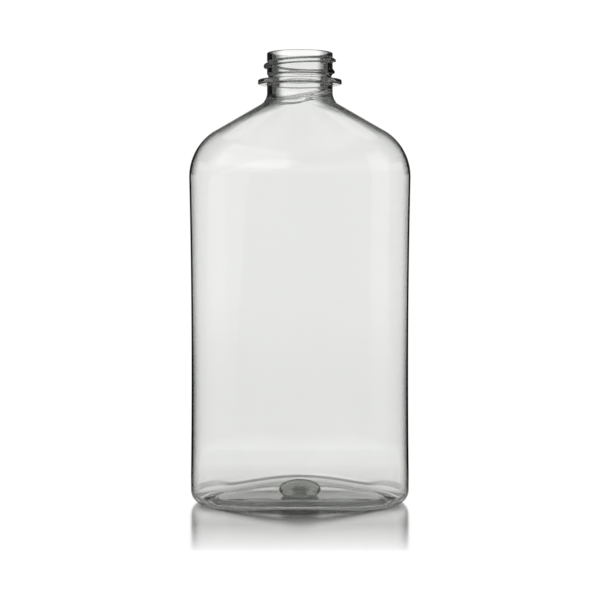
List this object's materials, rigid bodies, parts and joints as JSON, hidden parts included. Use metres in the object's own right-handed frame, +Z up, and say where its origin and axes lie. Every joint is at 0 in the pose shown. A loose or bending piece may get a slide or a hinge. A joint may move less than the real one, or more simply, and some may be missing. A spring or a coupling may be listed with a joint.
{
  "type": "oval plastic bottle",
  "caption": "Clear oval plastic bottle with sloped shoulders, a waisted body, an arched foot and a threaded neck with a support ring.",
  "frame": {"origin": "on the surface the bottle stands on, under the middle of the neck", "axes": "+Z up through the middle of the neck, X the wide way of the oval, front facing -Y"},
  "size_m": [0.0842, 0.054, 0.1722],
  "materials": {
    "neck": "clear gloss polyester, thick moulded wall",
    "body": "clear gloss polyester, thin blown wall"
  },
  "bodies": {
    "root": {"neck_finish": "neck", "neck_thread": "neck", "support_ring": "neck", "shoulder": "body", "side_wall": "body", "base": "body"}
  },
  "joints": []
}
